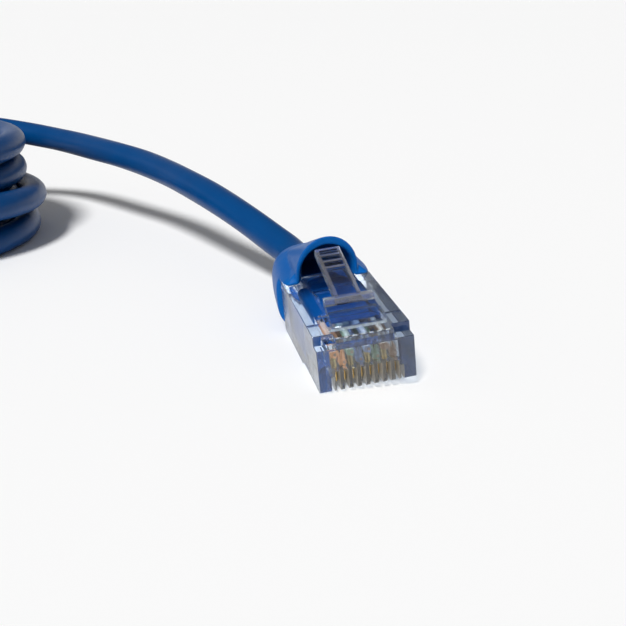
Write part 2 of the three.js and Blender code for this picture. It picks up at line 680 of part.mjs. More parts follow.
// The free cable: straight out of the boot, then its own way to the coil's top turn.
function lead() {
  const exit = BOOT_START + BOOT_LENGTH + CLEARANCE;
  const outOfBoot = [exit, exit + CABLE_DIAMETER / 3].map(
    (x) => plugA.localToWorld(new THREE.Vector3(-x, 0, CABLE_HEIGHT)));
  const join = coilPoint(0).addScaledVector(coilHeading(0), -CABLE_DIAMETER - CLEARANCE);
  const beforeJoin = join.clone().addScaledVector(coilHeading(0), -CABLE_DIAMETER);
  return [...outOfBoot, ...LEAD_ROUTE.map((p) => new THREE.Vector3(...p)), beforeJoin, join];
}

// The second plug lies flat beside the coil, in line with the end of the bottom turn.
const tailStart = coilPoint(COIL_TURNS)
  .addScaledVector(coilHeading(COIL_TURNS), CABLE_DIAMETER + CLEARANCE);
const tailHeading = coilHeading(COIL_TURNS);
const plugB = plug('plug_b');
const bootB = tailStart.clone().addScaledVector(tailHeading, TAIL_RUN + CLEARANCE);
plugB.rotation.z = Math.atan2(tailHeading.y, tailHeading.x);
plugB.position.copy(bootB).addScaledVector(tailHeading, BOOT_START + BOOT_LENGTH);
plugB.position.z = BOOT_UNDER;

function tail() {
  const endZ = BOOT_UNDER + CABLE_HEIGHT;
  const startZ = tailStart.z;
  const at = (distance, z) => tailStart.clone().addScaledVector(tailHeading, distance).setZ(z);
  return [
    at(0, startZ), at(TAIL_STRAIGHT, startZ),
    at(TAIL_RUN / 2, (startZ + endZ) / 2),
    at(TAIL_RUN - TAIL_STRAIGHT, endZ), at(TAIL_RUN, endZ),
  ];
}

const leadPoints = lead();
const tailPoints = tail();
const cable = new THREE.Group();
cable.add(piece(
  'cable_lead', tubeAlong(leadPoints, CABLE_DIAMETER, CORD_SIDES, LEAD_STEPS), JACKET_BLUE));
cable.add(piece('cable_coil', coil(), JACKET_BLUE));
cable.add(piece(
  'cable_tail', tubeAlong(tailPoints, CABLE_DIAMETER, CORD_SIDES, TAIL_STEPS), JACKET_BLUE));

const freeLength = lengthOf(leadPoints) + lengthOf(coilRoute()) + lengthOf(tailPoints);
console.log(`cable: ${freeLength.toFixed(0)} mm between the boots`);

// The origin is on the table, under the middle of the first plug.
const part = new THREE.Group();
part.add(plugA, plugB, cable);
const extent = new THREE.Box3().setFromObject(plugA, true);
part.position.set(-(extent.min.x + extent.max.x) / 2, -(extent.min.y + extent.max.y) / 2, 0);
part.updateMatrixWorld(true);

export default part;
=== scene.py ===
import json
import math

import bmesh
import bpy
from mathutils import Matrix, Vector, noise


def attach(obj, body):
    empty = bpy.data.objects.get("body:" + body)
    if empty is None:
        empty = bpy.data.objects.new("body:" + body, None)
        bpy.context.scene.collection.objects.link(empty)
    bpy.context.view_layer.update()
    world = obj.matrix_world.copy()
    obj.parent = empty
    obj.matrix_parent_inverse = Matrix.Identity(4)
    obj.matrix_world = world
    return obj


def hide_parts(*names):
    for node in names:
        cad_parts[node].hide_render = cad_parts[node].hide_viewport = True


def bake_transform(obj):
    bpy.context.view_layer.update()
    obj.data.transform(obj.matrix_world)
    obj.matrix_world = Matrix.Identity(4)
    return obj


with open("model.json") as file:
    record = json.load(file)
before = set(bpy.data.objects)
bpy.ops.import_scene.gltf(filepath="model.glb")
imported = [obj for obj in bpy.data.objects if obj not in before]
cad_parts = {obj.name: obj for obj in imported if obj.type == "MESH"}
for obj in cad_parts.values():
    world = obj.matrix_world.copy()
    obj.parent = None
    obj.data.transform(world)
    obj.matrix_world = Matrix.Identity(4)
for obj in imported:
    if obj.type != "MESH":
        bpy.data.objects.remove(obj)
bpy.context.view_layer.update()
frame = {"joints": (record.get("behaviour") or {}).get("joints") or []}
scene = bpy.context.scene
MM = 0.001


# ---------------------------------------------------------------- camera
# The view of the photograph: low over the table, in front of the first plug and a little
# to its right, looking back along the cable.

EYE = Vector((121.07, -29.35, 44.9)) * MM
LOOK_AZIMUTH = math.radians(167.6)
LOOK_DOWN = math.radians(18)
FOCAL_PIXELS = 1000
IMAGE_PIXELS = 626

camera = bpy.data.objects.new("camera", bpy.data.cameras.new("camera"))
scene.collection.objects.link(camera)
scene.camera = camera
camera.data.sensor_width = 36
camera.data.lens = 36 * FOCAL_PIXELS / IMAGE_PIXELS
camera.data.clip_start = 0.005
camera.data.clip_end = 60
camera.location = EYE
looking = Vector((
    math.cos(LOOK_AZIMUTH) * math.cos(LOOK_DOWN),
    math.sin(LOOK_AZIMUTH) * math.cos(LOOK_DOWN),
    -math.sin(LOOK_DOWN),
))
camera.rotation_euler = looking.to_track_quat("-Z", "Y").to_euler()


# ---------------------------------------------------------------- the two plugs' places
# Each plug is drawn in millimetres in its own frame: origin at the middle of the nose's
# lower front edge, +X out of the mating end, +Y to its left, latch up. Its two hinges
# say where that frame lies.

LATCH_PIVOT = Vector((-3.9, 0, 6.15))
HOOD_PIVOT = Vector((-29.2, 0, 8.6))
joints = {joint["name"]: joint for joint in frame["joints"]}


def plug_place(letter):
    latch_at = Vector(joints[f"latch_{letter}_press"]["pos_m"])
    hood_at = Vector(joints[f"hood_{letter}_press"]["pos_m"])
    left = Vector(joints[f"hood_{letter}_press"]["axis"]).normalized()
    along = (latch_at - hood_at).normalized()
    across = along.cross(left).normalized()
    pivots = LATCH_PIVOT - HOOD_PIVOT
    tilt = math.atan2(pivots.z, pivots.x)
    forward = along * math.cos(tilt) - across * math.sin(tilt)
    up = along * math.sin(tilt) + across * math.cos(tilt)
    turn = Matrix((forward, left, up)).transposed()
    origin = latch_at - turn @ (LATCH_PIVOT * MM)
    return Matrix.Translation(origin) @ turn.to_4x4() @ Matrix.Scale(MM, 4)


places = {letter: plug_place(letter) for letter in "ab"}


# ---------------------------------------------------------------- cable
# Round four-pair cable, 4.7 mm across, in a soft extruded jacket. It leaves the first
# boot, rises on its own stiffness, runs back and goes down into a coil of four layers,
# and ends in the second boot.

CABLE_DIAMETER = 4.7
CABLE_HEIGHT = 3.1               # its axis above the nose's lower face
BOOT_END = 33.4                  # from the nose back to the solid boot's tail
FRAME_SHIFT = Vector((16.457468, 0.362123, 0))
LEAD_ROUTE = [
    (-40.7, -1.4, 6.7), (-44.2, -3.3, 7.9), (-48.6, -5.7, 9.4), (-53.8, -8.3, 10.8),
    (-60.0, -11.1, 12.0), (-66.7, -13.8, 12.8), (-74.2, -16.6, 13.4), (-82.7, -20.4, 14.0),
    (-90.3, -24.7, 14.5), (-98.2, -29.1, 14.7), (-106.0, -33.6, 14.9), (-112.5, -38.4, 15.2),
    (-116.7, -43.8, 15.8), (-118.8, -50.0, 16.7),
]
COIL_TURNS = 7.25
COIL_LAYERS = 4
COIL_DIAMETER = 56.4             # at the middle of its turns
TURN_GAP = 0.15
LAYER_GAP = 0.45
COIL_CENTRE = Vector((-90.3, -73.0))
COIL_JOIN_ANGLE = math.radians(167.6)
COIL_STEPS = 60                  # per turn
LAYER_STEP = 0.5                 # turns over which it goes down a layer
CABLE_SIDES = 28
TAIL_STRAIGHT = 6
TAIL_RUN = 22                    # from the coil to the second boot
PAIR_LAY = 21                    # one turn of the four pairs under the jacket
PAIR_RELIEF = 0.035              # how far they show through it
RELIEF_RUN = 17                  # over which that grows and fades
ROUTE_STEP = 1.0                 # between the rings of the free cable
INTO_BOOT = 3                    # how far the cable runs on inside each boot


def clamped(value):
    return min(max(value, 0), 1)


def eased(value):
    """From 0 to 1 with a soft start and end."""
    share = clamped(value)
    return share * share * (3 - 2 * share)


def coil_heading(turn):
    angle = COIL_JOIN_ANGLE + turn * math.tau + math.pi / 2
    return Vector((math.cos(angle), math.sin(angle), 0))


def coil_point(turn):
    per_layer = COIL_TURNS / COIL_LAYERS
    layer = min(math.floor(turn / per_layer), COIL_LAYERS - 1)
    along = turn - layer * per_layer
    inwards = along if layer % 2 == 0 else per_layer - along
    radius = COIL_DIAMETER / 2 + (CABLE_DIAMETER + TURN_GAP) * (per_layer / 2 - inwards)
    drop = 0
    for k in range(1, COIL_LAYERS):
        drop += eased((turn - k * per_layer) / LAYER_STEP + 0.5)
    angle = COIL_JOIN_ANGLE + turn * math.tau
    height = CABLE_DIAMETER / 2 + (COIL_LAYERS - 1 - drop) * (CABLE_DIAMETER + LAYER_GAP)
    return Vector((
        COIL_CENTRE.x + radius * math.cos(angle),
        COIL_CENTRE.y + radius * math.sin(angle),
        height,
    )) + FRAME_SHIFT


def smooth_run(points, step):
    """Points every step or so on a smooth curve through the given ones."""
    run = []
    ends = [points[0] * 2 - points[1], *points, points[-1] * 2 - points[-2]]
    for k in range(1, len(ends) - 2):
        p0, p1, p2, p3 = ends[k - 1:k + 3]
        t1 = (p1 - p0).length ** 0.5
        t2 = t1 + (p2 - p1).length ** 0.5
        t3 = t2 + (p3 - p2).length ** 0.5
        count = max(1, round((p2 - p1).length / step))
        for n in range(count):
            t = t1 + (t2 - t1) * n / count
            a1 = p0.lerp(p1, t / t1)
            a2 = p1.lerp(p2, (t - t1) / (t2 - t1))
            a3 = p2.lerp(p3, (t - t2) / (t3 - t2))
            b1 = a1.lerp(a2, t / t2)
            b2 = a2.lerp(a3, (t - t1) / (t3 - t1))
            run.append(b1.lerp(b2, (t - t1) / (t2 - t1)))
    run.append(points[-1].copy())
    return run


def boot_tail(letter, beyond):
    """A point on the cable's axis this far behind the solid boot's tail, in millimetres."""
    return places[letter] @ Vector((-BOOT_END - beyond, 0, CABLE_HEIGHT)) / MM


def cable_route():
    join = coil_point(0) - coil_heading(0) * CABLE_DIAMETER
    lead = [
        boot_tail("a", -INTO_BOOT), boot_tail("a", 0), boot_tail("a", CABLE_DIAMETER / 3 + 0.3),
        *[Vector(point) + FRAME_SHIFT for point in LEAD_ROUTE],
        join - coil_heading(0) * CABLE_DIAMETER, join,
    ]
    steps = round(COIL_TURNS * COIL_STEPS)
    coil = [coil_point(COIL_TURNS * k / steps) for k in range(steps + 1)]
    out = coil_heading(COIL_TURNS)
    leave = coil[-1] + out * CABLE_DIAMETER
    low, high = leave.z, boot_tail("b", 0).z
    tail = [leave]
    for distance, height in (
        (TAIL_STRAIGHT, low), (TAIL_RUN / 2, (low + high) / 2), (TAIL_RUN - TAIL_STRAIGHT, high),
    ):
        point = leave + out * distance
        point.z = height
        tail.append(point)
    tail += [boot_tail("b", 0), boot_tail("b", -INTO_BOOT)]
    return [*smooth_run(lead, ROUTE_STEP), *coil, *smooth_run(tail, ROUTE_STEP)]


def tube(name, route, diameter, sides, relief=None):
    """A closed tube along a route, with a UV map: round it in u, millimetres in v."""
    points, faces, uvs = [], [], []
    heading = (route[1] - route[0]).normalized()
    side = heading.cross(Vector((0, 0, 1))).normalized()
    travelled = [0.0]
    for k, centre in enumerate(route):
        ahead = (route[min(k + 1, len(route) - 1)] - route[max(k - 1, 0)]).normalized()
        side = (side - ahead * side.dot(ahead)).normalized()
        rise = ahead.cross(side)
        if k:
            travelled.append(travelled[-1] + (centre - route[k - 1]).length)
        for n in range(sides):
            angle = n / sides * math.tau
            radius = diameter / 2
            if relief:
                radius += relief(angle, travelled[k])
            points.append(centre + (side * math.cos(angle) + rise * math.sin(angle)) * radius)
    for k in range(len(route) - 1):
        for n in range(sides):
            after = (n + 1) % sides
            faces.append((
                k * sides + n, k * sides + after, (k + 1) * sides + after, (k + 1) * sides + n,
            ))
            u0, u1 = n / sides, (n + 1) / sides
            v0, v1 = travelled[k], travelled[k + 1]
            uvs += [(u0, v0), (u1, v0), (u1, v1), (u0, v1)]
    last = (len(route) - 1) * sides
    faces.append(tuple(reversed(range(sides))))
    faces.append(tuple(last + n for n in range(sides)))
    uvs += [(0.5, 0)] * sides + [(0.5, travelled[-1])] * sides
    return mesh_piece(name, points, faces, uvs)


def mesh_piece(name, points, faces, uvs=None):
    mesh = bpy.data.meshes.new(name)
    mesh.from_pydata([tuple(point) for point in points], [], faces)
    if uvs:
        layer = mesh.uv_layers.new(name="UVMap")
        for loop, uv in zip(layer.data, uvs):
            loop.uv = uv
    piece = bpy.data.objects.new(name, mesh)
    scene.collection.objects.link(piece)
    return piece


def recalculate(piece):
    """Turns every face outwards."""
    shape = bmesh.new()
    shape.from_mesh(piece.data)
    bmesh.ops.recalc_face_normals(shape, faces=shape.faces)
    shape.to_mesh(piece.data)
    shape.free()


def smooth(piece, sharpest=None):
    """Smooth shading, with edges past the given angle kept crisp."""
    piece.data.polygons.foreach_set("use_smooth", [True] * len(piece.data.polygons))
    if sharpest:
        piece.data.set_sharp_from_angle(angle=math.radians(sharpest))
    piece.data.update()


class Shade:
    """A socket in a finish. Arithmetic on it adds Math nodes."""

    def __init__(self, finish, socket):
        self.finish = finish
        self.socket = socket

    def math(self, operation, first, second):
        return self.finish.node("ShaderNodeMath", {"operation": operation}, {0: first, 1: second})

    def __add__(self, other):
        return self.math("ADD", self, other)

    def __sub__(self, other):
        return self.math("SUBTRACT", self, other)

    def __rsub__(self, other):
        return self.math("SUBTRACT", other, self)

    def __mul__(self, other):
        return self.math("MULTIPLY", self, other)

    def __gt__(self, other):
        return self.math("GREATER_THAN", self, other)

    __radd__ = __add__
    __rmul__ = __mul__


class Finish:
    """A procedural material: its nodes, and the surface that they feed."""

    def __init__(self, name, **surface):
        self.material = bpy.data.materials.new(name)
        self.material.use_nodes = True
        self.tree = self.material.node_tree
        self.surface = self.tree.nodes["Principled BSDF"]
        for socket, value in surface.items():
            self.feed(socket.replace("_", " "), value)

    def node(self, kind, settings=None, sockets=None, output=0):
        node = self.tree.nodes.new(kind)
        for name, value in (settings or {}).items():
            if name == "stops":
                ramp = node.color_ramp
                while len(ramp.elements) < len(value):
                    ramp.elements.new(0.5)
                for stop, (position, colour) in zip(ramp.elements, value):
                    stop.position = position
                    stop.color = (*colour, 1)
            else:
                setattr(node, name, value)
        for name, value in (sockets or {}).items():
            self.join(node.inputs[name], value)
        return Shade(self, node.outputs[output])

    def join(self, socket, value):
        if isinstance(value, Shade):
            self.tree.links.new(value.socket, socket)
        elif isinstance(value, tuple) and len(value) == 3 and socket.type == "RGBA":
            socket.default_value = (*value, 1)
        else:
            socket.default_value = value

    def feed(self, socket, value):
        self.join(self.surface.inputs[socket], value)

    def noise(self, scale, detail=3, vector=None):
        """Fractal noise from 0 to 1, scale in cycles per metre."""
        vector = vector or self.node("ShaderNodeTexCoord", output="Object")
        return self.node("ShaderNodeTexNoise", None,
                         {"Vector": vector, "Scale": scale, "Detail": detail})

    def mix(self, share, first, second):
        """A colour between two others."""
        return self.node("ShaderNodeMix", {"data_type": "RGBA"},
                         {"Factor": share, 6: first, 7: second}, output=2)

    def spread(self, value, low, high):
        """A number from 0 to 1 laid over another range."""
        return value * (high - low) + low

    def bump(self, height, distance, strength=1.0):
        """Relief on the surface, distance in metres."""
        self.feed("Normal", self.node("ShaderNodeBump", None, {
            "Height": height, "Distance": distance, "Strength": strength}))


def jacket_finish(name, deep, light):
    finish = Finish(name, Specular_IOR_Level=0.16)
    mottle = finish.noise(260, 4)
    grain = finish.noise(9000, 3)
    finish.feed("Base Color", finish.mix(mottle, deep, light))
    finish.feed("Roughness", finish.spread(finish.noise(900, 4), 0.28, 0.42))
    finish.bump(grain + mottle * 2, 0.00002)
    return finish.material


def pair_relief(angle, distance):
    """The four twisted pairs, faintly seen as ridges that wind along the jacket."""
    lump = 0.6 + 0.4 * noise.noise(Vector((distance / RELIEF_RUN, 0, 3)))
    return PAIR_RELIEF * lump * (math.cos(4 * angle + distance / PAIR_LAY * math.tau) - 1)


JACKET = jacket_finish("cable_jacket", (0.0, 0.043, 0.16), (0.0, 0.054, 0.195))

route = cable_route()
cable = tube("cable_jacket", route, CABLE_DIAMETER, CABLE_SIDES, pair_relief)
cable.data.transform(Matrix.Scale(MM, 4))
cable.data.materials.append(JACKET)
recalculate(cable)
smooth(cable)
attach(cable, "cable_and_plugs")
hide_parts("cable_lead", "cable_coil", "cable_tail")


# ---------------------------------------------------------------- cut end of the jacket
# Inside each plug the cable's jacket runs on to its cut end. The clamp bar presses it down
# and the bore lets it spread, so there it is wider than it is high.

JACKET_START = 8.4               # from the nose back to the cut end
JACKET_SPREAD = 4.3              # half its width where it is pressed
JACKET_DROP = 2.73               # half its height there
PRESSED_TO = 17.6                # from here back it is round again
JACKET_ROUND_AT = 21.8
PAINTED_SHADE_FROM = 14.2                 # from here back its colour is darkened: painted shade under the hood
PAINTED_SHADE_RUN = 3.2                   # over which it darkens into that painted shade
CUT_ROUNDING = 0.25              # of the cut end's edge
CUT_SQUARENESS = 4.0
FINE_STEP, COARSE_STEP = 0.08, 0.5   # between rings at the cut end and behind it


def oval(x, half_width, low, high, squareness=2.0, count=64, below=None):
    """A ring across a plug: an ellipse at squareness 2, nearly a rectangle at 8. The lower
    half may be rounder than the upper."""
    ring = []
    for n in range(count):
        angle = n / count * math.tau
        c, s = math.cos(angle), math.sin(angle)
        square = min(squareness, below or squareness) if s < 0 else squareness
        y = half_width * math.copysign(abs(c) ** (2 / square), c)
        z = (high - low) / 2 * math.copysign(abs(s) ** (2 / square), s)
        ring.append(Vector((x, y, (low + high) / 2 + z)))
    return ring


def skin(name, rings):
    """A closed skin through rings of points, with a flat end on the first and last."""
    count = len(rings[0])
    faces = []
    for k in range(len(rings) - 1):
        for n in range(count):
            after = (n + 1) % count
            faces.append((k * count + n, k * count + after,
                          (k + 1) * count + after, (k + 1) * count + n))
    faces.append(tuple(range(count)))
    faces.append(tuple((len(rings) - 1) * count + n for n in range(count)))
    piece = mesh_piece(name, [point for ring in rings for point in ring], faces)
    recalculate(piece)
    return piece


def fit_in_plug(piece, letter, material, slot, *nodes):
    """Puts a piece drawn in the plug's frame in its place, and lets it stand for its nodes."""
    piece.data.transform(places[letter])
    piece.data.materials.clear()
    piece.data.materials.append(material)
    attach(piece, "cable_and_plugs")
    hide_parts(*nodes)


def mark(mesh, name, value_at):
    """Stores a number at each point of a mesh for its finish to read."""
    numbers = mesh.attributes.new(name, "FLOAT", "POINT")
    for vert, number in zip(mesh.vertices, numbers.data):
        number.value = value_at(vert.co)


def jacket_end(letter):
    rings = []
    x = -JACKET_START
    while x > -BOOT_END + 1:
        share = eased((-x - PRESSED_TO) / (JACKET_ROUND_AT - PRESSED_TO))
        rounding = min((-x - JACKET_START + 0.02) / CUT_ROUNDING, 1) ** 0.5
        across = JACKET_SPREAD + (CABLE_DIAMETER / 2 - JACKET_SPREAD) * share
        upright = JACKET_DROP + (CABLE_DIAMETER / 2 - JACKET_DROP) * share
        across -= CUT_ROUNDING * (1 - rounding)
        upright -= CUT_ROUNDING * (1 - rounding)
        rings.append(oval(x, across, CABLE_HEIGHT - upright, CABLE_HEIGHT + upright,
                          CUT_SQUARENESS, 48))
        x -= FINE_STEP if -x < JACKET_START + 0.3 else COARSE_STEP
    piece = skin(f"jacket_end_{letter}", rings)
    # Painted shade: the jacket end is marked 1 in front and 0 under the hood, where its finish
    # darkens it.
    mark(piece.data, "pressed", lambda point: clamped((point.x + PAINTED_SHADE_FROM) / PAINTED_SHADE_RUN + 1))
    smooth(piece, 50)
    fit_in_plug(piece, letter, SHADED_JACKET_END, "jacket", f"plug_{letter}_jacket_end")


def shaded_jacket_end_finish():
    finish = Finish("jacket_end_with_painted_shade", Specular_IOR_Level=0.16)
    mottle = finish.noise(260, 4)
    pressed = finish.node("ShaderNodeAttribute", {"attribute_name": "pressed"}, output="Fac")
    # Dark navy where the mark is 0, painted shade under the hood; the jacket's own mottled blue
    # where it is 1.
    finish.feed("Base Color", finish.mix(
        pressed, finish.mix(mottle, (0.0002, 0.012, 0.06), (0.0004, 0.016, 0.075)),
        finish.mix(mottle, (0.0006, 0.078, 0.3), (0.001, 0.094, 0.35))))
    finish.feed("Roughness", finish.spread(finish.noise(900, 4), 0.28, 0.42))
    finish.bump(finish.noise(9000, 3) + mottle * 2, 0.00002)
    return finish.material


SHADED_JACKET_END = shaded_jacket_end_finish()
for letter in "ab":
    jacket_end(letter)


# ---------------------------------------------------------------- eight insulated wires
# Solid-colour and white-striped insulation on stranded copper. Over the contacts they lie
# in two staggered rows; behind the guide they gather into the four pairs.

WIRE_DIAMETER = 0.92
WIRE_FRONT = 1.8
CONTACT_PITCH = 1.02
CONTACT_COUNT = 8
LOWER_ROW = 3.15
UPPER_ROW = 4.25
GUIDE_START = 6.7
GUIDE_LENGTH = 1.1
BUNDLE_PITCH = 1.0
COPPER_DIAMETER = 0.42
COPPER_REACH = 0.015             # past the end of its insulation
STRIPE_FROM = 0.36               # share of the way round, from the seam, of a white wire's stripe
WIRES = [
    ("white_orange", (0.84, 0.56, 0.4), (0.8, 0.34, 0.12)),
    ("orange", (0.78, 0.33, 0.12), None),
    ("white_green", (0.6, 0.63, 0.53), (0.24, 0.34, 0.22)),
    ("blue", (0.13, 0.17, 0.28), None),
    ("white_blue", (0.56, 0.58, 0.63), (0.2, 0.25, 0.38)),
    ("green", (0.14, 0.2, 0.13), None),
    ("white_brown", (0.6, 0.53, 0.44), (0.24, 0.13, 0.07)),
    ("brown", (0.2, 0.11, 0.06), None),
]


def insulation_finish(name, ground, stripe):
    finish = Finish(f"insulation_{name}", Specular_IOR_Level=0.5)
    shade = finish.spread(finish.noise(1500, 3), 0.85, 1.1)
    colour = finish.mix(shade, (0, 0, 0), ground)
    if stripe:
        round_it = finish.node("ShaderNodeSeparateXYZ", None,
                               {0: finish.node("ShaderNodeUVMap", {"uv_map": "UVMap"})})
        turned = finish.node("ShaderNodeMath", {"operation": "PINGPONG"}, {0: round_it, 1: 0.5})
        colour = finish.mix(turned > STRIPE_FROM, colour, stripe)
    finish.feed("Base Color", colour)
    finish.feed("Roughness", finish.spread(finish.noise(2500, 3), 0.3, 0.45))
    finish.bump(finish.noise(6000, 2), 0.00001)
    return finish.material


def contact_y(i):
    return (i - (CONTACT_COUNT - 1) / 2) * CONTACT_PITCH


def row_height(i):
    return UPPER_ROW if i % 2 == 0 else LOWER_ROW


def wire_route(i):
    bundle_y = (i // 2 - 1.5) * BUNDLE_PITCH
    bundle_z = CABLE_HEIGHT + (0.5 if i % 2 == 0 else -0.5) * BUNDLE_PITCH
    end = -JACKET_START - 0.6
    y, z = contact_y(i), row_height(i)
    return smooth_run([
        Vector((-WIRE_FRONT, y, z)), Vector((-GUIDE_START / 2, y, z)),
        Vector((-GUIDE_START, y, z)), Vector((-GUIDE_START - GUIDE_LENGTH, y, z)),
        Vector((end + 1.0, bundle_y, bundle_z)), Vector((end, bundle_y, bundle_z)),
    ], 0.3)


def settle(piece):
    """Makes a piece's modifiers part of its mesh."""
    depsgraph = bpy.context.evaluated_depsgraph_get()
    mesh = bpy.data.meshes.new_from_object(piece.evaluated_get(depsgraph), depsgraph=depsgraph)
    mesh.name = piece.name
    piece.modifiers.clear()
    piece.data = mesh


def joined(name, parts):
    """Several pieces as one mesh."""
    shape = bmesh.new()
    for part in parts:
        shape.from_mesh(part.data)
        bpy.data.objects.remove(part)
    mesh = bpy.data.meshes.new(name)
    shape.to_mesh(mesh)
    shape.free()
    piece = bpy.data.objects.new(name, mesh)
    scene.collection.objects.link(piece)
    return piece


def copper_finish():
    finish = Finish("copper", Metallic=1.0)
    tone = finish.noise(3000, 3)
    finish.feed("Base Color", finish.mix(tone, (0.28, 0.17, 0.1), (0.42, 0.27, 0.17)))
    finish.feed("Roughness", finish.spread(finish.noise(5000, 3), 0.25, 0.42))
    return finish.material


COPPER = copper_finish()

for letter in "ab":
    cores = []
    for i, (colour, ground, stripe) in enumerate(WIRES):
        route_in_plug = wire_route(i)
        piece = tube(f"wire_{colour}_{letter}", route_in_plug, WIRE_DIAMETER, 20)
        recalculate(piece)
        smooth(piece, 50)
        finish_name = f"insulation_{colour}"
        material = bpy.data.materials.get(finish_name) or insulation_finish(colour, ground, stripe)
        fit_in_plug(piece, letter, material, f"wire_{colour}", f"plug_{letter}_wire_{i + 1}")
        core = smooth_run([route_in_plug[0] + Vector((COPPER_REACH, 0, 0)), route_in_plug[1],
                           route_in_plug[2]], 0.2)
        cores.append(tube(f"core_{letter}_{i}", core, COPPER_DIAMETER, 12))
    copper = joined(f"copper_cores_{letter}", cores)
    recalculate(copper)
    smooth(copper, 50)
    copper.data.transform(places[letter])
    copper.data.materials.append(COPPER)
    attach(copper, "cable_and_plugs")


# ---------------------------------------------------------------- gold contacts
# Blades stamped from phosphor bronze and plated with gold, on edge in their slots: a round
# crown below, and two teeth above that bite through the wire. Every second wire lies
# lower, so the blades come in pairs, one long and one short.

CONTACT_THICKNESS = 0.32
CONTACT_LENGTH = 5.0
CONTACT_FRONT = 1.3
CONTACT_BOTTOM = 0.45
CROWN_RADIUS = 0.7
TOOTH_LENGTH = 0.75
BITE_GAP = 0.03


def blade_outline(i):
    """Side view of a blade in x and z, anticlockwise from its back lower corner."""
    back, front = -(CONTACT_FRONT + CONTACT_LENGTH), -CONTACT_FRONT
    tooth_top = row_height(i) - WIRE_DIAMETER / 2 - BITE_GAP
    tooth_foot = LOWER_ROW - WIRE_DIAMETER / 2 - TOOTH_LENGTH
    tooth = CONTACT_LENGTH / 5
    outline = []
    for centre_x, first in ((back + CROWN_RADIUS, 180), (front - CROWN_RADIUS, 270)):
        for k in range(9):
            angle = math.radians(first + 90 * k / 8)
            outline.append((centre_x + CROWN_RADIUS * math.cos(angle),
                            CONTACT_BOTTOM + CROWN_RADIUS * (1 + math.sin(angle))))
    outline.append((front, tooth_foot))
    for start in (front - tooth, front - 3 * tooth):
        outline += [(start, tooth_foot), (start - tooth / 3, tooth_top),
                    (start - tooth * 2 / 3, tooth_top), (start - tooth, tooth_foot)]
    outline.append((back, tooth_foot))
    return outline


def soften(piece, edge, sharpest=35):
    """Rounds every edge sharper than this angle a little."""
    bevel = piece.modifiers.new("soft_edges", "BEVEL")
    bevel.width = edge
    bevel.segments = 2
    bevel.limit_method = "ANGLE"
    bevel.angle_limit = math.radians(sharpest)
    bevel.use_clamp_overlap = False
    settle(piece)


def blade_pair(name):
    """The first two blades, with softened edges."""
    points, faces = [], []
    for i in range(2):
        outline = blade_outline(i)
        for side in (-1, 1):
            y = contact_y(i) + side * CONTACT_THICKNESS / 2
            first = len(points)
            points += [(x, y, z) for x, z in outline]
            faces.append(tuple(first + n for n in range(len(outline))))
        count = len(outline)
        low = len(points) - 2 * count
        for n in range(count):
            after = (n + 1) % count
            faces.append((low + n, low + after, low + count + after, low + count + n))
    pair = mesh_piece(name, points, faces)
    recalculate(pair)
    soften(pair, 0.05)
    return pair


def contacts_tree():
    """Repeats the pair of blades across the plug."""
    tree = bpy.data.node_groups.new("contacts", "GeometryNodeTree")
    tree.interface.new_socket("Geometry", in_out="INPUT", socket_type="NodeSocketGeometry")
    tree.interface.new_socket("Pairs", in_out="INPUT", socket_type="NodeSocketInt")
    tree.interface.new_socket("Pitch", in_out="INPUT", socket_type="NodeSocketVector")
    tree.interface.new_socket("Gold", in_out="INPUT", socket_type="NodeSocketMaterial")
    tree.interface.new_socket("Geometry", in_out="OUTPUT", socket_type="NodeSocketGeometry")
    given = tree.nodes.new("NodeGroupInput")
    line = tree.nodes.new("GeometryNodeMeshLine")
    place = tree.nodes.new("GeometryNodeInstanceOnPoints")
    real = tree.nodes.new("GeometryNodeRealizeInstances")
    paint = tree.nodes.new("GeometryNodeSetMaterial")
    result = tree.nodes.new("NodeGroupOutput")
    for start, end in (
        (given.outputs["Pairs"], line.inputs["Count"]),
        (given.outputs["Pitch"], line.inputs["Offset"]),
        (line.outputs["Mesh"], place.inputs["Points"]),
        (given.outputs["Geometry"], place.inputs["Instance"]),
        (place.outputs["Instances"], real.inputs["Geometry"]),
        (real.outputs["Geometry"], paint.inputs["Geometry"]),
        (given.outputs["Gold"], paint.inputs["Material"]),
        (paint.outputs["Geometry"], result.inputs["Geometry"]),
    ):
        tree.links.new(start, end)
    return tree


def gold_finish():
    finish = Finish("gold_plate", Metallic=1.0)
    tone = finish.noise(1800, 4)
    finish.feed("Base Color", finish.mix(tone, (0.72, 0.48, 0.16), (0.9, 0.68, 0.3)))
    finish.feed("Roughness", finish.spread(finish.noise(3500, 4), 0.16, 0.34))
    finish.bump(finish.noise(5000, 2), 0.00001)
    return finish.material


GOLD = gold_finish()
contacts_across = contacts_tree()
for letter in "ab":
    blades = blade_pair(f"contacts_{letter}")
    repeat = blades.modifiers.new("across", "NODES")
    repeat.node_group = contacts_across
    inputs = {item.name: item.identifier for item in contacts_across.interface.items_tree
              if item.in_out == "INPUT"}
    repeat[inputs["Pairs"]] = CONTACT_COUNT // 2
    repeat[inputs["Pitch"]] = (0.0, 2 * CONTACT_PITCH, 0.0)
    repeat[inputs["Gold"]] = GOLD
    settle(blades)
    smooth(blades, 40)
    fit_in_plug(blades, letter, GOLD, "contact_gold",
                *[f"plug_{letter}_contact_{n + 1}" for n in range(CONTACT_COUNT)])
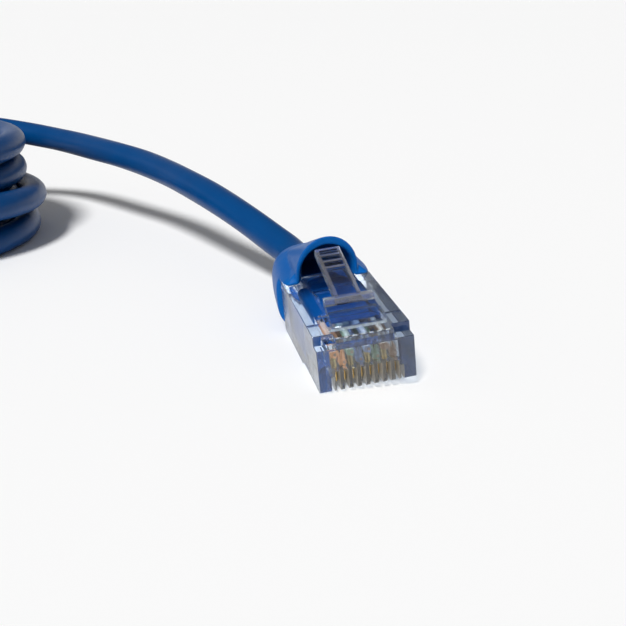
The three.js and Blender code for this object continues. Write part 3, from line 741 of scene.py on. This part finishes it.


# ---------------------------------------------------------------- clear housing, guide, latch
# Clear polycarbonate: polished, with the comb matt, the sides finely brushed and the latch's
# shoulder and rail tops satin, pale in mottled streaks as a painted highlight. The latch is part
# of the same moulding and bends at its root; the guide is a loose insert that holds the eight
# wires apart.

SOFT_EDGES = {                   # how far an edge is rounded, and the shortest that is
    "housing": (0.06, 0.35), "latch": (0.07, 3.5), "wire_guide": None,
}
SHARPEST = math.radians(35)
CLAMP_BAR = (-16.3, -12.3, 2.9)  # back, front and half width of the bar in its window
BORE_STEP = (-8.6, -7.5)         # where the wires' cavity opens into the bore
LIGHT_THROUGH = (0.64, 0.67, 0.71)   # what a shadow ray keeps at each face it passes
COMB = (-6.6, 4.4, 2.6)          # its fins' back end, half width and height
FIN_HALF = 0.2                   # half the width of a fin
SIDE_FROM = 5.7                  # the outer side faces, finely brushed
SHOULDER_FRONT, SHOULDER_BACK = -6.3, -7.7   # of the latch
LEVER_START = (-7.4, 8.8)        # the lever's upper face there, in x and z
LEVER_LEAN = math.atan2(2.65, 9.8)
RAIL_RISE = 0.15                 # the rails stand at least this far over that line
HIGHLIGHT_FACING = 0.7                     # how squarely a latch face looks forward or up to take the painted highlight
SQUARE = 0.9                     # the same for the comb, the sides and the front


def is_softened(edge, shortest):
    """True for a convex edge that a mould rounds, away from the fine inner steps."""
    if not edge.is_convex or edge.calc_face_angle() < SHARPEST or edge.calc_length() < shortest:
        return False
    ends = [vert.co for vert in edge.verts]
    back, front, half_width = CLAMP_BAR
    on_bar = all(back < end.x < front and abs(end.y) < half_width for end in ends)
    on_step = all(BORE_STEP[0] < end.x < BORE_STEP[1] for end in ends)
    return not on_bar and not on_step


def moulded_copy(part, letter):
    """A copy of a CAD node with its long edges rounded and its faces flat."""
    mesh = bpy.data.objects[f"plug_{letter}_{part}"].data.copy()
    mesh.transform(places[letter].inverted())
    mesh.materials.clear()
    shape = bmesh.new()
    shape.from_mesh(mesh)
    bmesh.ops.remove_doubles(shape, verts=shape.verts, dist=0.004)
    bmesh.ops.dissolve_limit(shape, angle_limit=math.radians(1), verts=shape.verts,
                             edges=shape.edges)
    for face in shape.faces:
        face.smooth = False
    if SOFT_EDGES[part]:
        width, shortest = SOFT_EDGES[part]
        rounded = bmesh.ops.bevel(
            shape, geom=[edge for edge in shape.edges if is_softened(edge, shortest)],
            offset=width, offset_type="OFFSET", segments=2, profile=0.5, affect="EDGES")
        for face in rounded["faces"]:
            face.smooth = True
    for face in shape.faces:
        face.material_index = finish_index(part, face)
    shape.to_mesh(mesh)
    shape.free()
    mark(mesh, "across", lambda point: point.y)
    mesh.transform(places[letter])
    for material in (POLISHED, MATT if part == "housing" else SATIN_HIGHLIT, SIDE, FRONT):
        mesh.materials.append(material)
    piece = bpy.data.objects.new(f"clear_{part}_{letter}", mesh)
    scene.collection.objects.link(piece)
    return piece


def finish_index(part, face):
    """0 for the polished faces, 1 for the comb's fins or the latch's satin faces with their
    painted highlight, 2 for the sides and 3 for the front."""
    middle = face.calc_center_median()
    if part == "housing" and abs(face.normal.y) > SQUARE:
        if COMB[0] < middle.x < -0.02 and abs(middle.y) < COMB[1] and middle.z < COMB[2]:
            return 1
        if abs(middle.y) > SIDE_FROM:
            return 2
    if part == "housing" and face.normal.x > SQUARE and middle.x > -0.1:
        return 3
    # On the latch, shoulder faces and rail tops that look forward or up take the satin finish,
    # whose pale mottle is a painted highlight.
    if part == "latch" and middle.x < SHOULDER_FRONT:
        on_shoulder = (middle.x > SHOULDER_BACK
                       and (face.normal.x > HIGHLIGHT_FACING or face.normal.z > HIGHLIGHT_FACING))
        above = ((middle.x - LEVER_START[0]) * math.sin(LEVER_LEAN)
                 + (middle.z - LEVER_START[1]) * math.cos(LEVER_LEAN))
        on_rail = face.normal.z > HIGHLIGHT_FACING and above > RAIL_RISE
        if on_shoulder or on_rail:
            return 1
    return 0


def clear_finish(name, roughness, transmission, deep, light, grain=150, fins=None):
    """Clear plastic. Lamp light passes it dimmed, as through a thin real wall. Where fins
    are given, they run up the face between the contacts."""
    finish = Finish(name, IOR=1.58, Transmission_Weight=transmission)
    colour = finish.mix(finish.noise(grain, 2), deep, light)
    relief = finish.noise(350, 2)
    if fins:
        across = finish.node("ShaderNodeAttribute", {"attribute_name": "across"}, output="Fac")
        past_fin = finish.node("ShaderNodeMath", {"operation": "PINGPONG"},
                               {0: across, 1: CONTACT_PITCH / 2})
        aside = finish.node("ShaderNodeMath", {"operation": "ABSOLUTE"}, {0: across})
        on_comb = COMB[1] - FIN_HALF - aside > 0
        colour = finish.mix((FIN_HALF - past_fin > 0) * on_comb, colour, fins)
        relief = relief + (0.5 - past_fin) * on_comb * 4
    finish.feed("Base Color", colour)
    finish.feed("Roughness", finish.spread(finish.noise(600, 3), *roughness))
    finish.bump(relief, 0.00003)
    passing = finish.node("ShaderNodeBsdfTransparent", None, {"Color": LIGHT_THROUGH})
    shadow = finish.node("ShaderNodeLightPath", output="Is Shadow Ray")
    solid = Shade(finish, finish.surface.outputs[0])
    either = finish.node("ShaderNodeMixShader", None, {0: shadow, 1: solid, 2: passing})
    finish.tree.links.new(either.socket, finish.tree.nodes["Material Output"].inputs["Surface"])
    return finish.material


POLISHED = clear_finish("clear_polycarbonate", (0.01, 0.05), 1.0, (0.62, 0.7, 0.79),
                        (0.71, 0.78, 0.86))
MATT = clear_finish("matt_comb", (0.3, 0.45), 0.6, (0.46, 0.43, 0.39), (0.62, 0.58, 0.52))
# The latch's satin: rough, and pale in mottled streaks, which are a painted highlight.
SATIN_HIGHLIT = clear_finish("satin_latch_painted_highlight", (0.1, 0.22), 0.88, (0.46, 0.45, 0.49), (0.9, 0.87, 0.91),
                     grain=1100)
FRONT = clear_finish("ribbed_front", (0.05, 0.14), 0.96, (0.6, 0.66, 0.72), (0.7, 0.75, 0.8),
                     fins=(0.42, 0.41, 0.38))
SIDE = clear_finish("brushed_side", (0.16, 0.28), 0.94, (0.44, 0.49, 0.56), (0.52, 0.57, 0.63))
for letter in "ab":
    for part, body in (
        ("housing", "cable_and_plugs"), ("wire_guide", "cable_and_plugs"),
        ("latch", f"latch_{letter}"),
    ):
        clear = moulded_copy(part, letter)
        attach(clear, body)
        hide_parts(f"plug_{letter}_{part}")


# ---------------------------------------------------------------- boot and hood
# One soft blue moulding on each plug. It grips the housing's heel, draws in to a sleeve on
# the cable, and stands up over the latch's tip as a hood, open to the front, that a thumb
# presses down.

BOOT_START = 18.5
HEEL_LOW, HEEL_HIGH = -0.56, 6.76    # between its two tongues
HEEL_END = 21.8
HEEL_REACH = 8.0                 # past its sides, which are open there
BORE_RADIUS = 2.38
# Back from its front: half width, bottom, top, squareness. Its sleeve runs 3.3 mm further
# along the cable than the solid boot's.
BOOT_FORM = [
    (0.0, 5.5, -0.9, 7.5, 4.6),
    (0.15, 5.85, -1.2, 7.75, 4.5),
    (0.5, 6.15, -1.4, 7.95, 4.3),
    (1.2, 6.35, -1.5, 8.05, 4.2),
    (2.6, 6.48, -1.5, 8.1, 4.0),
    (3.9, 6.48, -1.5, 8.2, 3.8),
    (5.5, 6.35, -1.5, 8.4, 3.5),
    (7.5, 6.2, -1.42, 8.65, 3.2),
    (9.5, 6.0, -1.3, 8.8, 3.0),
    (11.1, 5.65, -1.1, 8.6, 2.8),
    (12.5, 4.95, -0.9, 8.05, 2.5),
    (13.4, 4.3, -0.7, 7.45, 2.2),
    (14.2, 3.85, -0.6, 6.95, 2.05),
    (15.0, 3.5, -0.35, 6.6, 2.0),
    (16.0, 3.2, 0.0, 6.4, 2.0),
    (17.2, 2.97, 0.33, 6.27, 2.0),
    (18.2, 2.82, 0.56, 6.2, 2.0),
]
UNDER_SQUARENESS = 2.6           # its lower half is rounder
TAIL_BORE_END = 37.5             # beyond the tail, so that the cut goes through
HOOD_HALF = 4.15
HOOD_FOOT = 8.1                  # height of its base
HOOD_TOP = 13.3
HOOD_FRONT = 18.3                # where its rim stands on the boot
HOOD_LEAN = 1.3                  # how far the top of the rim reaches forward of that
HOOD_BACK = 31.5
HOOD_WALL = 1.1
HOOD_SINK = 1.2                  # how far its crown ends below its base, inside the boot
HOOD_FALL = 0.88                 # 1 for a straight fall of the crown towards the back
HOOD_TAPER = 0.3                 # share of its width that it loses towards the back
HOOD_REACH = 0.97                # share of its length that is drawn
HOOD_RINGS, FILLET_RINGS, POCKET_RINGS = 13, 12, 15
POCKET_START = -0.12             # share by which the cut starts in front of the rim
POCKET_END = 0.64                # share of the hood's length that is hollow
FLARE_DEPTH = 0.16               # share of it over which its sides thin towards the rim
FLARE = 0.75                     # by how much
FILLET_START = 18.8              # behind the rim its sides spread into the boot
FILLET_END = 30.2
FILLET_HALF = 6.1
FILLET_TAPER = 0.25              # share of that which it loses towards the back
FILLET_BELOW = 0.8               # its top under the hood's
FILLET_SLOPE = 1.1
FILLET_FOOT = 6.3                # height of its feet, inside the boot
HOOD_SHADE_FROM = 0.04                 # from here back the inner face of the hood is painted darker, as shade
MOULD_GRID = 0.14


def combine(piece, other, operation):
    """Joins another closed shape to a piece, or cuts it away."""
    step = piece.modifiers.new(operation, "BOOLEAN")
    step.operation = operation
    step.solver = "EXACT"
    step.object = other
    settle(piece)
    bpy.data.objects.remove(other)


def hood_ring(share, half_width, floor, crown, count=40):
    """A ring of the hood: an arch on straight feet, leaning forward towards the front."""
    ring = [Vector((0, -half_width, floor - 2.5)), Vector((0, half_width, floor - 2.5))]
    for n in range(count + 1):
        angle = n / count * math.pi
        ring.append(Vector((0, half_width * math.cos(angle),
                            floor + (crown - floor) * math.sin(angle))))
    x = -HOOD_FRONT - (HOOD_BACK - HOOD_FRONT) * share
    for point in ring:
        point.x = x + HOOD_LEAN * (point.z - HOOD_FOOT) / (HOOD_TOP - HOOD_FOOT) * (1 - share)
    return ring


def hood_crown(share):
    fall = (1 - max(share, 0)) ** HOOD_FALL
    return HOOD_FOOT - HOOD_SINK + (HOOD_TOP - HOOD_FOOT + HOOD_SINK) * fall


def fillet_ring(x, half_width, foot, crown, count=40):
    """A mound whose sides run out to the boot's edges, on straight feet inside the boot."""
    ring = [Vector((x, -half_width, 5.0)), Vector((x, half_width, 5.0))]
    for n in range(count + 1):
        y = half_width * math.cos(n / count * math.pi)
        slope = FILLET_SLOPE * (1 - abs(y) / half_width)
        ring.append(Vector((x, y, foot + (crown - foot) * min(slope, 1))))
    return ring


def under_hood(point):
    """1 for a point on the inner face of the hood, 0 for one outside: how far the boot's colour
    there is darkened as painted shade.
    """
    lean = HOOD_LEAN * (point.z - HOOD_FOOT) / (HOOD_TOP - HOOD_FOOT)
    share = (lean - point.x - HOOD_FRONT) / (HOOD_BACK - HOOD_FRONT + lean)
    if point.z < HEEL_HIGH - 0.3 or share > POCKET_END + 0.04 or share < HOOD_SHADE_FROM:
        return 0
    rise = max(point.z - HOOD_FOOT, 0) / max(hood_crown(share) - HOOD_WALL / 2 - HOOD_FOOT, 0.1)
    aside = point.y / (HOOD_HALF - HOOD_WALL / 2)
    return clamped((1 - math.hypot(rise, aside)) * 12)


def boot(letter):
    body = skin(f"boot_{letter}", [
        oval(-BOOT_START - back, half, low, high, square, below=UNDER_SQUARENESS)
        for back, half, low, high, square in BOOT_FORM])
    outside = []
    for k in range(HOOD_RINGS):
        share = k / (HOOD_RINGS - 1) * HOOD_REACH
        crown = hood_crown(share)
        outside.append(hood_ring(share, HOOD_HALF * (1 - HOOD_TAPER * share ** 2.5),
                                 min(HOOD_FOOT, crown - 0.05), crown))
    combine(body, skin("hood_outside", outside), "UNION")
    fillet = []
    for k in range(FILLET_RINGS):
        share = k / (FILLET_RINGS - 1)
        x = -FILLET_START - (FILLET_END - FILLET_START) * share
        level = hood_crown((-x - HOOD_FRONT) / (HOOD_BACK - HOOD_FRONT))
        fillet.append(fillet_ring(x, FILLET_HALF * (1 - FILLET_TAPER * share ** 3), FILLET_FOOT,
                                  max(level - FILLET_BELOW, FILLET_FOOT + 0.4)))
    combine(body, skin("hood_fillet", fillet), "UNION")
    inside = []
    for k in range(POCKET_RINGS):
        share = POCKET_START + (POCKET_END - POCKET_START) * k / (POCKET_RINGS - 1)
        closing = max(1 - max(share / POCKET_END, 0) ** 3, 0.0025) ** 0.5
        flare = FLARE * max(1 - max(share, 0) / FLARE_DEPTH, 0) ** 1.5
        half = (HOOD_HALF - HOOD_WALL + flare) * closing
        crown = HOOD_FOOT - 0.1 + (hood_crown(share) - HOOD_WALL - HOOD_FOOT + 0.1) * closing
        inside.append([Vector((p.x, p.y, max(p.z, HEEL_HIGH - 0.1 + 0.5 * max(share, 0))))
                       for p in hood_ring(share, half, HOOD_FOOT - 0.2, crown)])
    combine(body, skin("hood_inside", inside), "DIFFERENCE")
    combine(body, skin("heel", [
        oval(x, HEEL_REACH, HEEL_LOW, HEEL_HIGH, 40, 64)
        for x in (-HEEL_END, -BOOT_START + 1)]), "DIFFERENCE")
    combine(body, skin("bore", [
        oval(x, BORE_RADIUS, CABLE_HEIGHT - BORE_RADIUS, CABLE_HEIGHT + BORE_RADIUS)
        for x in (-HEEL_END + 1, -TAIL_BORE_END)]), "DIFFERENCE")
    remesh = body.modifiers.new("moulded", "REMESH")
    remesh.mode = "VOXEL"
    remesh.voxel_size = MOULD_GRID
    flow = body.modifiers.new("flow", "SMOOTH")
    flow.factor = 0.5
    flow.iterations = 8
    settle(body)
    smooth(body)
    # Painted shade: the hood's inner faces are marked, and the finish colours them a dark navy.
    mark(body.data, "deep", under_hood)
    return body


def boot_finish():
    finish = Finish("soft_boot", Specular_IOR_Level=0.14)
    mottle = finish.noise(220, 4)
    grain = finish.noise(7000, 3)
    deep = finish.node("ShaderNodeAttribute", {"attribute_name": "deep"}, output="Fac")
    # Where the deep mark is 1, the boot's blue gives way to a dark navy: painted shade inside the
    # hood.
    finish.feed("Base Color", finish.mix(
        deep, finish.mix(mottle, (0.0, 0.084, 0.32), (0.0004, 0.1, 0.365)),
        finish.mix(mottle, (0.0, 0.02, 0.1), (0.0002, 0.026, 0.12))))
    finish.feed("Roughness", finish.spread(finish.noise(800, 4), 0.32, 0.46))
    finish.bump(grain + mottle * 2, 0.000015)
    return finish.material


BOOT = boot_finish()
for letter in "ab":
    moulding = boot(letter)
    moulding.data.transform(places[letter])
    moulding.data.materials.clear()
    moulding.data.materials.append(BOOT)
    places[letter] @ Vector((-24, 0, 8.3))
    places[letter] @ Vector((-24, 0, 12.0))
    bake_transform(moulding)
    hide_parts(f"plug_{letter}_boot", f"plug_{letter}_hood")


# ---------------------------------------------------------------- table and light
# A plain white table that fills the view, a soft lamp above the viewer's left shoulder,
# and a pale room.

TABLE_TONE = 0.95
TABLE_SIZE = 30
LAMP_TRAVEL = Vector((-0.87, 0.5, -1.0))
LAMP_STRENGTH = 3.5
LAMP_ANGLE = math.radians(11)
ROOM_LIGHT = 0.22
BACKDROP_TOP = (0.1, 0.4)        # sine of the height where the white backdrop fades
CEILING_TONE = 0.15

table_finish = Finish("white_table", Roughness=0.9, Specular_IOR_Level=0.1)
table_finish.feed("Base Color", (TABLE_TONE,) * 3)
half = TABLE_SIZE / 2
corners = [(-half, -half, 0), (half, -half, 0), (half, half, 0), (-half, half, 0)]
table = mesh_piece("table", corners, [(0, 1, 2, 3)])
table.data.materials.append(table_finish.material)

lamp = bpy.data.objects.new("lamp", bpy.data.lights.new("lamp", "SUN"))
lamp.data.energy = LAMP_STRENGTH
lamp.data.angle = LAMP_ANGLE
lamp.rotation_euler = LAMP_TRAVEL.to_track_quat("-Z", "Y").to_euler()
scene.collection.objects.link(lamp)

room = bpy.data.worlds.new("room")
room.use_nodes = True
scene.world = room
room_nodes = room.node_tree.nodes
room_links = room.node_tree.links
paths = room_nodes.new("ShaderNodeLightPath")
lit = room_nodes.new("ShaderNodeMath")
lit.operation = "MAXIMUM"
seen = room_nodes.new("ShaderNodeMath")
seen.operation = "MAXIMUM"
room_links.new(paths.outputs["Is Glossy Ray"], lit.inputs[0])
room_links.new(paths.outputs["Is Transmission Ray"], lit.inputs[1])
room_links.new(paths.outputs["Is Camera Ray"], seen.inputs[0])
room_links.new(lit.outputs[0], seen.inputs[1])
direction = room_nodes.new("ShaderNodeTexCoord")
height = room_nodes.new("ShaderNodeSeparateXYZ")
room_links.new(direction.outputs["Generated"], height.inputs[0])
backdrop = room_nodes.new("ShaderNodeMapRange")
backdrop.inputs["From Min"].default_value = BACKDROP_TOP[0]
backdrop.inputs["From Max"].default_value = BACKDROP_TOP[1]
backdrop.inputs["To Min"].default_value = TABLE_TONE
backdrop.inputs["To Max"].default_value = CEILING_TONE
room_links.new(height.outputs["Z"], backdrop.inputs["Value"])
room_strength = room_nodes.new("ShaderNodeMapRange")
room_strength.inputs["To Min"].default_value = ROOM_LIGHT
room_links.new(backdrop.outputs[0], room_strength.inputs["To Max"])
room_links.new(seen.outputs[0], room_strength.inputs["Value"])
room_links.new(room_strength.outputs[0], room_nodes["Background"].inputs["Strength"])
room_nodes["Background"].inputs["Color"].default_value = (1, 1, 1, 1)

scene.view_settings.view_transform = "Standard"
scene.cycles.max_bounces = 32
scene.cycles.transmission_bounces = 32
scene.cycles.glossy_bounces = 12

boot_tail("a", 0) * MM
[point * MM for point in route]
